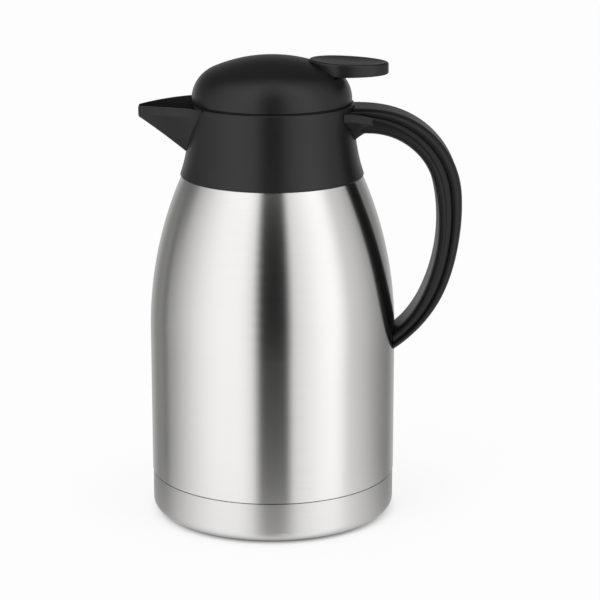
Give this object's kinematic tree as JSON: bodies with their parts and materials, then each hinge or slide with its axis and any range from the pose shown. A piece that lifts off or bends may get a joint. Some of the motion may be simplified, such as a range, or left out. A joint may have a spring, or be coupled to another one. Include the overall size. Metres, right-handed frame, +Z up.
{
  "type": "thermal carafe",
  "caption": "Insulated steel carafe with a side handle, a beak spout and a screw-in domed lid whose thumb lever lifts a pouring valve.",
  "frame": {"origin": "centre of the underside of the non-slip pad that the carafe stands on, on the vessel's own axis", "axes": "+Z up along the vessel's axis; the spout points to -X and the handle to +X; Y runs across"},
  "size_m": [0.1883, 0.145, 0.2727],
  "materials": {
    "brushed_steel": "fine circumferential brushing",
    "plain_steel": "plain drawn stainless steel",
    "black_plastic": "satin moulded black",
    "inner_plastic": "plain moulded black, inside the lid",
    "silicone": "pale food-grade silicone",
    "dark_silicone": "black food-grade silicone",
    "pad_rubber": "matt dark rubber",
    "screw_steel": "plain bright screws and pins",
    "spring_steel": "drawn spring wire",
    "getter_metal": "dull sintered pellet",
    "seal_bead": "brazed bead"
  },
  "bodies": {
    "carafe": {"outer_shell": "brushed_steel", "inner_flask": "plain_steel", "vacuum_closure": "plain_steel", "getter": "getter_metal", "vacuum_plug": "seal_bead", "base_cup": "brushed_steel", "base_pad": "pad_rubber", "collar": "black_plastic", "mouth_seal": "silicone", "clamp_ring": "inner_plastic", "clamp_screws": "screw_steel", "handle_bracket": "plain_steel", "handle_body": "black_plastic", "handle_cover": "black_plastic", "handle_top_screw": "screw_steel", "handle_low_screw": "screw_steel"},
    "lid_ring": {"lid_seal": "dark_silicone"},
    "lid": {"lid_cap": "black_plastic", "lid_screws": "screw_steel", "lever_pin": "screw_steel", "stopper": "inner_plastic", "stopper_seal": "silicone", "stem_wiper": "silicone", "valve_spring": "spring_steel"},
    "lever": {"thumb_lever": "black_plastic"},
    "valve": {"valve_stem": "plain_steel", "valve_disc": "inner_plastic", "valve_seal": "silicone", "stem_button": "inner_plastic", "stem_clip": "spring_steel"}
  },
  "joints": [
    {"name": "lid_rise", "type": "slide", "parent": "carafe", "child": "lid_ring", "axis": [0, 0, 1], "range_m": [0, 0.04]},
    {"name": "lid_turn", "type": "hinge", "parent": "lid_ring", "child": "lid", "pos_m": [0, 0, 0.24], "axis": [0, 0, 1], "range_deg": [0, 601]},
    {"name": "lever_press", "type": "hinge", "parent": "lid", "child": "lever", "pos_m": [0.036, 0, 0.254], "axis": [0, 1, 0], "range_deg": [0, 7]},
    {"name": "valve_lift", "type": "slide", "parent": "lid", "child": "valve", "axis": [0, 0, 1], "range_m": [0, 0.0043], "stiffness_N_per_m": 20, "springref_m": -0.005, "deforming": ["valve_spring"]}
  ],
  "couplings": [
    {"joint": "lid_turn", "follows": "lid_rise", "rad_per_m": 261.8},
    {"joint": "lever_press", "follows": "valve_lift", "rad_per_m": 27.778}
  ]
}
